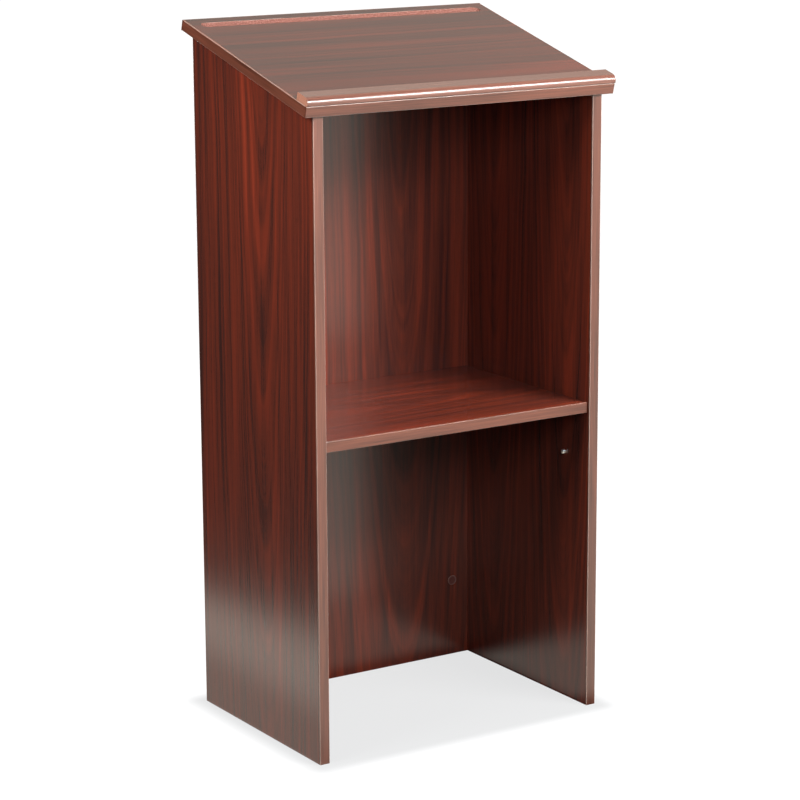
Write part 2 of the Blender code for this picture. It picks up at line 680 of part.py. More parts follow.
def main():
    clear_scene()
    laminate = finish("mahogany_laminate", (0.13, 0.030, 0.018), 0.32)
    band = finish("edge_band", (0.30, 0.13, 0.10), 0.35)
    moulding = finish("stop_moulding", (0.28, 0.12, 0.08), 0.28)
    nickel = finish("nickel", (0.72, 0.69, 0.63), 0.25, metallic=1.0)
    zinc = finish("die_cast_zinc", (0.55, 0.55, 0.56), 0.45, metallic=1.0)
    steel = finish("zinc_plated_steel", (0.66, 0.66, 0.64), 0.35, metallic=1.0)
    plastic = finish("cap_plastic", (0.11, 0.035, 0.025), 0.40)
    beech = finish("beech", (0.60, 0.40, 0.22), 0.70)
    make_side_panels(laminate)
    make_side_bands(band)
    make_back_panel(laminate)
    make_top_panel(laminate)
    make_top_bands(band)
    make_paper_stop(moulding)
    make_shelf(laminate, band)
    make_cam_fittings(zinc, steel, plastic)
    make_dowels(beech)
    make_shelf_pins(nickel)
    make_stop_screws(steel)


main()
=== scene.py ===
"""The looks of a laminated presentation lectern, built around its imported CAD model.

Metres, Z up. The reader stands on the -Y side, X runs to the reader's right, and the floor is z = 0.
"""

from math import cos, pi, radians, sin, tan

import bmesh
import bpy
from mathutils import Matrix, Vector


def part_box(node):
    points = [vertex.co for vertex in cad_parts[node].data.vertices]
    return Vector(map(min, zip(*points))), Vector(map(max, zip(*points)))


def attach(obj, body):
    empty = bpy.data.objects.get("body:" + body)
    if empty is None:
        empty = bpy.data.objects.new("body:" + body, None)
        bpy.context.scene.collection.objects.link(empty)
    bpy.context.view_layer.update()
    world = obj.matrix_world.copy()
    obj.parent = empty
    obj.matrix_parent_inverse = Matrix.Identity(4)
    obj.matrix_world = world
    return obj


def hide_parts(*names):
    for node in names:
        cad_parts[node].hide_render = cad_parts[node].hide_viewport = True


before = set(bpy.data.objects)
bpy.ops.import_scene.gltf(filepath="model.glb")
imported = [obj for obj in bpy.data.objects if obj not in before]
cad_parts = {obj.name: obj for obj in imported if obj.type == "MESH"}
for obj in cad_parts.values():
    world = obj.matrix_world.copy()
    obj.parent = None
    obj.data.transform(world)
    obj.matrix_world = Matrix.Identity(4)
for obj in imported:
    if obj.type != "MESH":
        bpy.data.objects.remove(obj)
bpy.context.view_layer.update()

X_AXIS = (1, 0, 0)
Y_AXIS = (0, 1, 0)
Z_AXIS = (0, 0, 1)

# The boards, as the CAD model has them
TILT = radians(15)
BOARD = 0.018
GAP = 0.0003
BAND = 0.003
BAND_ROUND = 0.0012
UPHILL = Vector((0, cos(TILT), sin(TILT)))
OUTWARD = Vector((0, -sin(TILT), cos(TILT)))

# Paper stop and pencil groove
STOP_WIDTH = 0.031
STOP_HEIGHT = 0.0134
STOP_PROUD = 0.0015
STOP_NOSE_LENGTH = 0.012
STOP_NOSE_HEIGHT = 0.010
STOP_HEEL = 0.0023
STOP_BACK_ROUND = 0.0012
STOP_FOIL = 0.0004
GROOVE_WIDTH = 0.020
GROOVE_DEPTH = 0.006
GROOVE_FROM_REAR = 0.031
GROOVE_END_MARGIN = 0.0195
GROOVE_TIP_ANGLE = radians(4)

# Shelf pins and cover caps
PIN_RADIUS = 0.00375
PIN_LENGTH = 0.0062
PIN_DOME = 0.0018
PIN_DOME_ANGLE = radians(83)
PIN_PLUG_RADIUS = 0.0025
PIN_PLUG_LENGTH = 0.008
CAP_RADIUS = 0.0087
CAP_HEIGHT = 0.0015
CAP_ROUND = 0.0008
CAP_DISH = 0.00045
CAP_DISH_ANGLE = radians(88)
CAP_SPIGOT_RADIUS = 0.0070
CAP_SPIGOT_LENGTH = 0.0010

# How finely curves are divided, and the angle above which an edge looks sharp
BAND_STEPS = 7
NOSE_STEPS = 22
CORNER_STEPS = 7
TURN_SEGMENTS = 48
GROOVE_SEGMENTS = 120
GROOVE_END_STEPS = 18
SHARP_ANGLE = radians(32)

# How far from a flat side's ends its shading stops being flat, and how long such a side is at least
HOLD = 0.0003
LONG_SIDE = 4 * HOLD

# Camera: where it stands, how it is turned, and its lens
CAMERA_PLACE = (-2.399, -3.751, 1.545)
CAMERA_PITCH = radians(-12.80)
CAMERA_YAW = radians(-32.60)
CAMERA_ROLL = radians(-0.27)
CAMERA_LENS = 122.6


# Node building ------------------------------------------------------------------------------------

# How squarely a surface faces a direction: enough to count as facing it, and where a rounding begins
# and is full
FACING = 0.7
ROUNDING_START = 0.985
ROUNDING_FULL = 0.93

# The Mix node has sockets of the same names for every kind of value, so its colours go by number
MIX_FIRST = 6
MIX_SECOND = 7
MIX_RESULT = 2


def add_node(tree, kind, inputs=(), **settings):
    """A shader node; each input is a socket's name or number, with a value or another node's socket."""
    node = tree.nodes.new("ShaderNode" + kind)
    for key, value in settings.items():
        setattr(node, key, value)
    for key, value in dict(inputs).items():
        if isinstance(value, bpy.types.NodeSocket):
            tree.links.new(value, node.inputs[key])
        else:
            node.inputs[key].default_value = value
    return node


def calc(tree, operation, *values):
    """One step of arithmetic on numbers and sockets."""
    return add_node(tree, "Math", enumerate(values), operation=operation).outputs[0]


def blend(tree, factor, first, second, mode="MIX"):
    """Two colours mixed: first where factor is 0, second where it is 1."""
    inputs = {"Factor": factor, MIX_FIRST: first, MIX_SECOND: second}
    return add_node(tree, "Mix", inputs, data_type="RGBA", blend_type=mode).outputs[MIX_RESULT]


def spread(tree, value, low, high, new_low=0.0, new_high=1.0, easing="LINEAR"):
    """Stretches low..high to new_low..new_high, and clamps what lies outside."""
    inputs = {"Value": value, "From Min": low, "From Max": high, "To Min": new_low, "To Max": new_high}
    return add_node(tree, "MapRange", inputs, interpolation_type=easing).outputs[0]


def ramp(tree, factor, stops):
    """A colour ramp through (position, colour) stops."""
    node = add_node(tree, "ValToRGB", {"Fac": factor})
    elements = node.color_ramp.elements
    while len(elements) < len(stops):
        elements.new(1.0)
    for element, (position, colour) in zip(elements, stops):
        element.position = position
        element.color = (*colour, 1.0)
    return node.outputs["Color"]


def noise(tree, across, along, seed, detail=2.0, roughness=0.5):
    """Smooth noise about 0.5 at a place that is already scaled, different for each seed."""
    place = add_node(tree, "CombineXYZ", {"X": across, "Y": along, "Z": seed}).outputs[0]
    inputs = {"Vector": place, "Scale": 1.0, "Detail": detail, "Roughness": roughness}
    return add_node(tree, "TexNoise", inputs).outputs[0]


def start_material(name):
    """A new material, with its node tree and its shader."""
    material = bpy.data.materials.new(name)
    material.use_nodes = True
    return material, material.node_tree, material.node_tree.nodes["Principled BSDF"]


def dot(tree, first, second):
    inputs = {0: first, 1: second}
    return add_node(tree, "VectorMath", inputs, operation="DOT_PRODUCT").outputs["Value"]


def coordinate(tree, direction):
    """How far a point lies along a direction in the piece's own frame, times the direction's length."""
    return dot(tree, add_node(tree, "TexCoord").outputs["Object"], direction)


def speckle(tree, across, along, seed, detail=2.0, roughness=0.5):
    """Noise over a surface; across and along are as long as the number of specks in a metre."""
    return noise(tree, coordinate(tree, across), coordinate(tree, along), seed, detail, roughness)


def squareness(tree, direction):
    """1 where the surface faces along a direction or against it, falling to 0 where it lies along it."""
    return calc(tree, "ABSOLUTE", dot(tree, add_node(tree, "TexCoord").outputs["Normal"], direction))


def facing(tree, direction):
    """1 on the surfaces that face along a direction or against it, and 0 on the others."""
    return calc(tree, "GREATER_THAN", squareness(tree, direction), FACING)


def rounding(tree, *directions):
    """0 where the surface faces along one of the directions, and 1 on the roundings between them."""
    flat = 0.0
    for direction in directions:
        flat = calc(tree, "MAXIMUM", squareness(tree, direction), flat)
    return spread(tree, flat, ROUNDING_START, ROUNDING_FULL)


def bump(tree, shader, height, distance):
    """Raises the shader's surface by height times a distance in metres."""
    inputs = {"Height": height, "Strength": 1.0, "Distance": distance}
    tree.links.new(add_node(tree, "Bump", inputs).outputs["Normal"], shader.inputs["Normal"])


def feed(tree, shader, **sockets):
    """Links values to the shader's sockets, named with _ for a space."""
    for name, value in sockets.items():
        tree.links.new(value, shader.inputs[name.replace("_", " ")])


# Materials ----------------------------------------------------------------------------------------

# The print's colours, from its darkest tone to its lightest
GRAIN_TONES = (
    (0.00, (0.024, 0.0090, 0.0072)),
    (0.30, (0.070, 0.0145, 0.0085)),
    (0.50, (0.110, 0.0190, 0.0092)),
    (0.70, (0.158, 0.0230, 0.0098)),
    (1.00, (0.245, 0.0330, 0.0135)),
)

# The kinds of streak in the print: how many come in a metre across the grain and along it, what each
# kind adds to its board's seed, and its noise's detail and roughness
SWAY = (6.0, 1.6, 0.0, 3.0, 0.5)
FLAMES = (14.0, 0.7, 13.0, 1.0, 0.5)
STRIPES = (45.0, 1.3, 9.0, 2.0, 0.5)
STRANDS = (110.0, 1.2, 3.0, 3.0, 0.5)
FIBRES = (600.0, 14.0, 5.0, 3.0, 0.6)
PORES = (1500.0, 55.0, 11.0, 2.0, 0.5)

# How strongly each kind shows in the print's tone
RING_SHARE = 0.95
FLAME_SHARE = 0.45
STRIPE_SHARE = 0.95
STRAND_SHARE = 0.50
FIBRE_SHARE = 0.50

# How many rings come in a metre on a log that leans by 1, their noise, and how far rings and streaks
# wander as they sway
RING_RATE = 7.0
RING_DETAIL = 4.0
RING_ROUGHNESS = 0.62
RING_WANDER = 0.034
STREAK_WANDER = 0.012

# Pores: the noise between which they begin and are full, how far they darken the print, and to what
PORE_START = 0.60
PORE_FULL = 0.70
PORE_DEPTH = 0.35
PORE_COLOUR = (0.030, 0.012, 0.010, 1.0)

# How deep the pores are pressed in the print, in metres, and the fibres' share of that
PRESS_DEPTH = 0.000015
FIBRE_RELIEF = 0.4

# What shows in the pencil groove: how deep the print ends, and the bare core's sheen beside the print's
PRINT_DEPTH = 0.0001
CORE_ROUGHNESS = 0.9
CORE_GLOSS = 0.1
PRINT_GLOSS = 0.5

# An edge band's usual specular level and brightness, and how strongly a highlight is painted pale on its
# rounded corners
BAND_GLOSS = 0.58
BAND_BRIGHTNESS = 1.05
BAND_ARRIS_HIGHLIGHT = 0.7

# The range of a material's noise over which its roughness changes
NOISE_LOW = 0.3
NOISE_HIGH = 0.7


def streaks(tree, kind, across, along, seed):
    """The noise of one kind of streak in the print."""
    across_rate, along_rate, offset, detail, roughness = kind
    x = calc(tree, "MULTIPLY", across, across_rate)
    y = calc(tree, "MULTIPLY", along, along_rate)
    return noise(tree, x, y, seed + offset, detail, roughness)


def add_share(tree, tone, layer, share):
    """The tone with a layer of noise added, so that the layer's middle value changes nothing."""
    return calc(tree, "ADD", tone, calc(tree, "MULTIPLY_ADD", layer, share, -share / 2))


def tinted(tree, colour, brightness):
    """The colour times a brightness."""
    return blend(tree, 1.0, colour, (brightness, brightness, brightness, 1.0), "MULTIPLY")


def particle_core(tree, seed):
    """Raw particle board, as its sawn edges show it: pale chips pressed together."""
    chips = speckle(tree, (420, 0, 300), (0, 420, 0), seed, detail=4, roughness=0.7)
    return ramp(tree, chips, ((0.30, (0.16, 0.085, 0.045)), (0.70, (0.46, 0.31, 0.19))))


def growth_rings(tree, across, along, sway, heart, repeat, apex, lean, seed):
    """The rings of a board sawn beside the heart of a leaning log, which nest as pointed arches."""
    wander = calc(tree, "MULTIPLY_ADD", sway, RING_WANDER, -RING_WANDER / 2)
    aside = calc(tree, "ADD", calc(tree, "SUBTRACT", across, heart), wander)
    aside = calc(tree, "PINGPONG", aside, repeat / 2)
    rise = calc(tree, "MULTIPLY", calc(tree, "SUBTRACT", along, apex), lean)
    squares = calc(tree, "ADD", calc(tree, "POWER", aside, 2.0), calc(tree, "POWER", rise, 2.0))
    radius = calc(tree, "SQRT", squares)
    turn = calc(tree, "MULTIPLY_ADD", radius, RING_RATE / lean, seed * RING_RATE)
    inputs = {"W": turn, "Scale": 1.0, "Detail": RING_DETAIL, "Roughness": RING_ROUGHNESS}
    return add_node(tree, "TexNoise", inputs, noise_dimensions="1D").outputs[0]


def laminate(name, across, along, thickness, heart, repeat, apex, lean, seed, brightness, fineness):
    """Mahogany print on board. heart is the middle line of the grain's arches across the grain, repeat
    the distance to the next such line, apex the height along the grain at which the log's heart would
    meet the face, and lean how fast it leaves. A fineness below 1 makes the streaks wider. Faces square
    to thickness are printed, and the rest is the raw core.
    """
    material, tree, shader = start_material(name)
    a = coordinate(tree, across)
    g = coordinate(tree, along)
    sway = streaks(tree, SWAY, a, g, seed)
    rings = growth_rings(tree, a, g, sway, heart, repeat, apex, lean, seed)
    a_wavy = calc(tree, "MULTIPLY_ADD", sway, STREAK_WANDER, a)
    a_wide = calc(tree, "MULTIPLY", a_wavy, fineness)
    fibres = streaks(tree, FIBRES, a_wavy, g, seed)
    tone = calc(tree, "MULTIPLY_ADD", rings, RING_SHARE, (1 - RING_SHARE) / 2)
    for kind, share in ((FLAMES, FLAME_SHARE), (STRIPES, STRIPE_SHARE), (STRANDS, STRAND_SHARE)):
        tone = add_share(tree, tone, streaks(tree, kind, a_wide, g, seed), share)
    tone = add_share(tree, tone, fibres, FIBRE_SHARE)
    dash = spread(tree, streaks(tree, PORES, a_wavy, g, seed), PORE_START, PORE_FULL)
    colour = ramp(tree, tone, GRAIN_TONES)
    colour = blend(tree, calc(tree, "MULTIPLY", dash, PORE_DEPTH), colour, PORE_COLOUR)
    # The print's brightness is set per board, as painted light and shade.
    colour = tinted(tree, colour, brightness)
    feed(
        tree, shader,
        Base_Color=blend(tree, facing(tree, thickness), particle_core(tree, seed), colour),
        Roughness=spread(tree, fibres, NOISE_LOW, NOISE_HIGH, 0.21, 0.27),
    )
    shader.inputs["IOR"].default_value = 1.5
    relief = calc(tree, "SUBTRACT", calc(tree, "MULTIPLY", fibres, FIBRE_RELIEF), dash)
    bump(tree, shader, relief, PRESS_DEPTH)
    return material


def edge_band_material(
    name, along, across, seed, gloss=BAND_GLOSS, brightness=BAND_BRIGHTNESS, arris_highlight=BAND_ARRIS_HIGHLIGHT,
):
    """The plain edge strip: a lighter brown with fine lines along it, and a highlight painted pale on
    its rounded corners. across is square to along, on the strip's face.
    """
    material, tree, shader = start_material(name)
    along = Vector(along)
    across = Vector(across)
    lines = speckle(tree, across * 700, along * 9, seed, detail=3, roughness=0.6)
    cloud = speckle(tree, across * 60, along * 3, seed + 2.0)
    tone = calc(tree, "ADD", calc(tree, "MULTIPLY", lines, 0.6), calc(tree, "MULTIPLY", cloud, 0.4))
    colour = ramp(tree, tone, ((0.36, (0.062, 0.0165, 0.0085)), (0.64, (0.190, 0.0560, 0.0310))))
    # The brightness is set per strip, as painted light and shade.
    colour = tinted(tree, colour, brightness)
    # Painted highlight: the rounded corners are blended towards a pale colour, in place of light caught
    # on the edges.
    painted_arris_highlight = calc(tree, "MULTIPLY", rounding(tree, along, across, along.cross(across)), arris_highlight)
    feed(
        tree, shader,
        Base_Color=blend(tree, painted_arris_highlight, colour, (0.50, 0.34, 0.27, 1.0)),
        Roughness=spread(tree, lines, NOISE_LOW, NOISE_HIGH, 0.30, 0.40),
    )
    shader.inputs["Specular IOR Level"].default_value = gloss
    bump(tree, shader, lines, 0.00003)
    return material


def stop_foil_material():
    """The foil wrapped round the paper stop: a glossy printed brown with long soft lines."""
    material, tree, shader = start_material("stop_foil")
    lines = speckle(tree, (UPHILL + OUTWARD) * 500, (5, 0, 0), 21.0, detail=3, roughness=0.6)
    feed(
        tree, shader,
        Base_Color=ramp(tree, lines, ((0.30, (0.115, 0.039, 0.026)), (0.70, (0.195, 0.079, 0.053)))),
        Roughness=spread(tree, lines, NOISE_LOW, NOISE_HIGH, 0.20, 0.28),
    )
    bump(tree, shader, lines, 0.00003)
    return material


def fibreboard_material(name, dark, light, roughness):
    """Cut fibreboard: a fine even speckle."""
    material, tree, shader = start_material(name)
    specks = speckle(tree, (900, 0, 0), (0, 900, 700), 31.0, detail=4, roughness=0.75)
    feed(
        tree, shader,
        Base_Color=ramp(tree, specks, ((0.32, dark), (0.68, light))),
        Roughness=spread(tree, specks, NOISE_LOW, NOISE_HIGH, roughness, roughness + 0.15),
    )
    bump(tree, shader, specks, 0.0002)
    return material


def metal_material(name, colour, roughness, rate):
    """Plated or cast metal, with faint mottling: rate is how many spots come in a metre."""
    material, tree, shader = start_material(name)
    mottle = speckle(tree, (rate, 0, rate), (0, rate, 0), 41.0, detail=4, roughness=0.65)
    dull = tuple(channel * 0.72 for channel in colour)
    feed(
        tree, shader,
        Base_Color=ramp(tree, mottle, ((0.30, dull), (0.65, colour))),
        Roughness=spread(tree, mottle, NOISE_LOW, NOISE_HIGH, roughness + 0.12, roughness),
    )
    shader.inputs["Metallic"].default_value = 1.0
    bump(tree, shader, mottle, 0.00005)
    return material


def plastic_material(name, direction):
    """A cover cap's moulded plastic: dark brown with a fine grain, and a highlight painted pale round
    its rim.
    """
    material, tree, shader = start_material(name)
    grain = speckle(tree, (1800, 1500, 0), (0, 0, 1800), 51.0)
    colour = ramp(tree, grain, ((0.35, (0.070, 0.0150, 0.0095)), (0.65, (0.105, 0.0230, 0.0150))))
    # Painted highlight: the rounded rim is blended towards a pale colour, in place of light caught on
    # it.
    rim = calc(tree, "MULTIPLY", rounding(tree, direction), 0.6)
    feed(
        tree, shader,
        Base_Color=blend(tree, rim, colour, (0.42, 0.22, 0.16, 1.0)),
        Roughness=spread(tree, grain, NOISE_LOW, NOISE_HIGH, 0.42, 0.54),
    )
    shader.inputs["Specular IOR Level"].default_value = 0.3
    bump(tree, shader, grain, 0.00004)
    return material


def dowel_material():
    """Beech rod: pale wood with short flecks."""
    material, tree, shader = start_material("beech")
    flecks = speckle(tree, (500, 0, 0), (0, 900, 300), 61.0, detail=3)
    feed(
        tree, shader,
        Base_Color=ramp(tree, flecks, ((0.35, (0.42, 0.26, 0.13)), (0.65, (0.62, 0.43, 0.25)))),
        Roughness=spread(tree, flecks, NOISE_LOW, NOISE_HIGH, 0.60, 0.75),
    )
    bump(tree, shader, flecks, 0.00008)
    return material


# Mesh building ------------------------------------------------------------------------------------


def arc(centre_u, centre_v, radius_u, radius_v, start, end, steps):
    """Points along part of an ellipse, both ends included."""
    angles = [start + (end - start) * step / steps for step in range(steps + 1)]
    return [(centre_u + radius_u * cos(angle), centre_v + radius_v * sin(angle)) for angle in angles]


def hold_flats(outline):
    """The outline with a point close to each end of its long sides, so that they are shaded flat."""
    held = []
    for here, after in zip(outline, outline[1:] + outline[:1]):
        start = Vector(here)
        side = Vector(after) - start
        held.append(tuple(start))
        if side.length > LONG_SIDE:
            step = side * (HOLD / side.length)
            held += [tuple(start + step), tuple(start + side - step)]
    return held


def loft(rings):
    """A closed solid through rings of points, capped at both ends."""
    shape = bmesh.new()
    loops = [[shape.verts.new(point) for point in ring] for ring in rings]
    shape.faces.new(loops[0])
    shape.faces.new(loops[-1])
    for first, second in zip(loops, loops[1:]):
        for here in range(len(first)):
            after = (here + 1) % len(first)
            shape.faces.new((first[here], first[after], second[after], second[here]))
    return shape


def turned(profile, segments=TURN_SEGMENTS):
    """A solid of revolution about Z from (radius, height) points."""
    angles = [2 * pi * step / segments for step in range(segments)]
    rings = []
    for radius, height in profile:
        rings.append([(radius * cos(angle), radius * sin(angle), height) for angle in angles])
    return loft(rings)


def smooth(mesh):
    """Smooth shading, apart from the sharp edges."""
    mesh.shade_smooth()
    mesh.set_sharp_from_angle(angle=SHARP_ANGLE)


def as_mesh(name, shape):
    """The mesh of a bmesh, which is used up."""
    bmesh.ops.recalc_face_normals(shape, faces=shape.faces)
    mesh = bpy.data.meshes.new(name)
    shape.to_mesh(mesh)
    shape.free()
    smooth(mesh)
    return mesh


def square_mesh(name, half_size):
    """A flat square about the origin, facing up."""
    shape = bmesh.new()
    bmesh.ops.create_grid(shape, x_segments=1, y_segments=1, size=half_size)
    return as_mesh(name, shape)


def add_object(name, data):
    thing = bpy.data.objects.new(name, data)
    bpy.context.scene.collection.objects.link(thing)
    return thing


def axes_at(x_axis, y_axis, z_axis, place):
    """The matrix that lays a mesh's own axes along three directions, at a place."""
    turn = Matrix((x_axis, y_axis, z_axis)).transposed().to_4x4()
    turn.translation = place
    return turn


def add_piece(name, mesh, materials, body, node):
    """A new visible piece in place of a CAD node, on its body and with its material slot."""
    piece = add_object(name, mesh)
    for material in materials:
        mesh.materials.append(material)
    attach(piece, body)
    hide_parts(node)


def band_outline(width):
    """An edge band's section: flat at the back (v = BAND), with rounded corners in front (v = 0)."""
    r = BAND_ROUND
    outline = [(width, BAND), (0, BAND)]
    outline += arc(r, r, r, r, pi, 1.5 * pi, BAND_STEPS)
    outline += arc(width - r, r, r, r, 1.5 * pi, 2 * pi, BAND_STEPS)
    return hold_flats(outline)


def stop_outline():
    """The paper stop's section: distance behind the top's front edge, and height over its surface."""
    back_u = STOP_WIDTH - STOP_BACK_ROUND
    back_v = STOP_HEIGHT - STOP_BACK_ROUND
    nose_u = STOP_NOSE_LENGTH - STOP_PROUD
    nose_v = STOP_HEIGHT - STOP_NOSE_HEIGHT
    heel_u = STOP_HEEL - STOP_PROUD
    outline = [(STOP_WIDTH, GAP)]
    outline += arc(back_u, back_v, STOP_BACK_ROUND, STOP_BACK_ROUND, 0, pi / 2, CORNER_STEPS)
    outline += arc(nose_u, nose_v, STOP_NOSE_LENGTH, STOP_NOSE_HEIGHT, pi / 2, pi, NOSE_STEPS)
    outline += arc(heel_u, STOP_HEEL + GAP, STOP_HEEL, STOP_HEEL, pi, 1.5 * pi, CORNER_STEPS)
    return hold_flats(outline)


# The slanted top's frame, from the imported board's box
panel_low, panel_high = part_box("top_panel")
EDGE_Y = panel_low.y + BOARD * sin(TILT) - (BAND + GAP) * cos(TILT)
EDGE_Z = panel_low.z - (BAND + GAP) * sin(TILT)
TOP_LENGTH = (panel_high.y - EDGE_Y) / cos(TILT) + BAND + GAP
HALF_WIDTH = panel_high.x + BAND + GAP

# Where its board begins and ends, behind the front band and before the rear one
BOARD_START = BAND + GAP
BOARD_END = TOP_LENGTH - BAND - GAP


def on_slope(x, along, above):
    """A place given by its distance up the top's underside and its height square to it."""
    return Vector((x, EDGE_Y, EDGE_Z)) + UPHILL * along + OUTWARD * above


def add_strip(name, rings, band, body, node):
    """An edge band through rings of points, in place of its CAD node."""
    add_piece(name, as_mesh(name, loft(rings)), [band], body, node)


def make_side_bands():
    """The strips down the side panels' edges, sloped at the top like the CAD ones."""
    # Painted shade: the right side's bands are darker than the left's, because the same strip is lit
    # more strongly on that side.
    for side, brightness in (("left", BAND_BRIGHTNESS), ("right", 0.75)):
        for end, seed in (("front", 3.0), ("rear", 5.0)):
            name = f"{side}_side_{end}_band"
            low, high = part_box(name)
            bottom = []
            top = []
            for u, v in band_outline(high.x - low.x):
                x = low.x + u
                y = low.y + v if end == "front" else high.y - v
                bottom.append((x, y, low.z))
                top.append((x, y, high.z - (high.y - y) * tan(TILT)))
            band = edge_band_material(name, Z_AXIS, X_AXIS, seed, brightness=brightness)
            add_strip(name + "_strip", [bottom, top], band, "carcass", name)


def make_top_bands():
    """The strips round the slanted top."""
    for end, edge, inward, arris_highlight in (("front", 0, 1, BAND_ARRIS_HIGHLIGHT), ("rear", TOP_LENGTH, -1, 0.0)):
        name = f"top_{end}_band"
        rings = []
        for x in (-HALF_WIDTH, HALF_WIDTH):
            rings.append([on_slope(x, edge + inward * v, u) for u, v in band_outline(BOARD)])
        # Painted shade: these bands are darkened to 0.80 brightness. Only the front one gets the painted
        # corner highlight.
        band = edge_band_material(name, X_AXIS, OUTWARD, 7.0, gloss=0.50, brightness=0.80, arris_highlight=arris_highlight)
        add_strip(f"top_{end}_strip", rings, band, "carcass", name)
    for end, side in (("left", -1), ("right", 1)):
        name = f"top_{end}_band"
        rings = []
        for along in (BOARD_START, BOARD_END):
            rings.append([on_slope(side * (HALF_WIDTH - v), along, u) for u, v in band_outline(BOARD)])
        band = edge_band_material(name, UPHILL, OUTWARD, 9.0)
        add_strip(f"top_{end}_strip", rings, band, "carcass", name)


def make_shelf_band():
    name = "shelf_front_band"
    low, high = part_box(name)
    outline = band_outline(high.z - low.z)
    rings = [[(x, low.y + v, low.z + u) for u, v in outline] for x in (low.x, high.x)]
    # Painted shade: this band is a little darker than the usual band, and its painted corner highlight
    # is faint.
    band = edge_band_material(name, X_AXIS, Z_AXIS, 11.0, gloss=0.45, brightness=1.0, arris_highlight=0.1)
    add_strip("shelf_front_strip", rings, band, "shelf", name)


def make_paper_stop():
    """The moulding: foil round it, and bare fibreboard inside the foil's edge at the two cut ends."""
    foil = stop_foil_material()
    core = fibreboard_material("stop_core", (0.29, 0.105, 0.065), (0.50, 0.235, 0.150), 0.55)
    outline = stop_outline()
    shape = loft([[on_slope(x, u, BOARD + v) for u, v in outline] for x in (-HALF_WIDTH, HALF_WIDTH)])
    ends = [face for face in shape.faces if len(face.verts) == len(outline)]
    bmesh.ops.inset_individual(shape, faces=ends, thickness=STOP_FOIL)
    for face in ends:
        face.material_index = 1
    mesh = as_mesh("paper_stop", shape)
    add_piece("paper_stop_moulding", mesh, [foil, core], "carcass", "paper_stop")


def groove_cutter():
    """The path of a round-nosed router bit: a capsule along X, drawn from its left tip to its right."""
    half_width = GROOVE_WIDTH / 2
    radius = (half_width**2 + GROOVE_DEPTH**2) / (2 * GROOVE_DEPTH)
    half_length = HALF_WIDTH - GROOVE_END_MARGIN - half_width
    cap = arc(0, 0, radius, radius, GROOVE_TIP_ANGLE, pi / 2, GROOVE_END_STEPS)
    profile = [(out, -half_length - beyond) for beyond, out in cap]
    profile += [(out, half_length + beyond) for beyond, out in reversed(cap)]
    cutter = add_object("groove_cutter", as_mesh("groove_cutter", turned(profile, GROOVE_SEGMENTS)))
    place = on_slope(0, TOP_LENGTH - GROOVE_FROM_REAR, BOARD + radius - GROOVE_DEPTH)
    cutter.matrix_world = axes_at(OUTWARD, -UPHILL, X_AXIS, place)
    return cutter


def make_top_board():
    """The reading board with its pencil groove cut smooth."""
    half = HALF_WIDTH - BAND - GAP
    corners = ((BOARD_START, 0), (BOARD_END, 0), (BOARD_END, BOARD), (BOARD_START, BOARD))
    mesh = as_mesh("top_blank", loft([[on_slope(x, u, v) for u, v in corners] for x in (-half, half)]))
    blank = add_object("top_blank", mesh)
    cutter = groove_cutter()
    boolean = blank.modifiers.new("groove", "BOOLEAN")
    boolean.operation = "DIFFERENCE"
    boolean.solver = "EXACT"
    boolean.object = cutter
    graph = bpy.context.evaluated_depsgraph_get()
    board = bpy.data.meshes.new_from_object(blank.evaluated_get(graph))
    bpy.data.objects.remove(blank)
    bpy.data.objects.remove(cutter)
    smooth(board)
    board.materials.clear()
    add_piece("top_board", board, [top_laminate()], "carcass", "top_panel")


def place_round(node, direction):
    """The frame of a round piece: at its node's outer end, in the middle, with Z out of the face."""
    low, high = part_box(node)
    outward = Vector(direction)
    up = Vector(Z_AXIS)
    middle = (low + high) / 2
    tip = max(corner.dot(outward) for corner in (low, high))
    return axes_at(up, outward.cross(up), outward, middle + outward * (tip - middle.dot(outward)))


def pin_shape():
    """A shelf pin from its tip at z = 0: a domed head down to the board, and a plug in the hole."""
    foot = GAP - PIN_LENGTH
    plug_end = -PIN_LENGTH - PIN_PLUG_LENGTH
    profile = [(PIN_PLUG_RADIUS, plug_end), (PIN_PLUG_RADIUS, foot), (PIN_RADIUS, foot)]
    profile += arc(0, -PIN_DOME, PIN_RADIUS, PIN_DOME, 0, PIN_DOME_ANGLE, CORNER_STEPS)
    return turned(profile)


def cap_shape():
    """A cover cap from its rim's top at z = 0: a rounded rim, a slightly hollow middle and a spigot."""
    spigot_end = -CAP_HEIGHT - CAP_SPIGOT_LENGTH
    under_rim = GAP - CAP_HEIGHT
    profile = [(CAP_SPIGOT_RADIUS, spigot_end), (CAP_SPIGOT_RADIUS, under_rim), (CAP_RADIUS, under_rim)]
    profile += arc(CAP_RADIUS - CAP_ROUND, -CAP_ROUND, CAP_ROUND, CAP_ROUND, 0, pi / 2, CORNER_STEPS)
    profile += arc(0, 0, CAP_RADIUS - 2 * CAP_ROUND, CAP_DISH, 0, -CAP_DISH_ANGLE, CORNER_STEPS)
    return turned(profile)


def make_pins():
    metal = metal_material("nickel", (0.86, 0.83, 0.75), 0.38, 600)
    for row in ("shelf_pin", "spare_pin"):
        for side, inward in (("left", 1), ("right", -1)):
            for end in ("front", "rear"):
                node = f"{row}_{side}_{end}"
                stud = as_mesh(node + "_stud", pin_shape())
                stud.transform(place_round(node, (inward, 0, 0)))
                add_piece(node + "_stud", stud, [metal], "carcass", node)


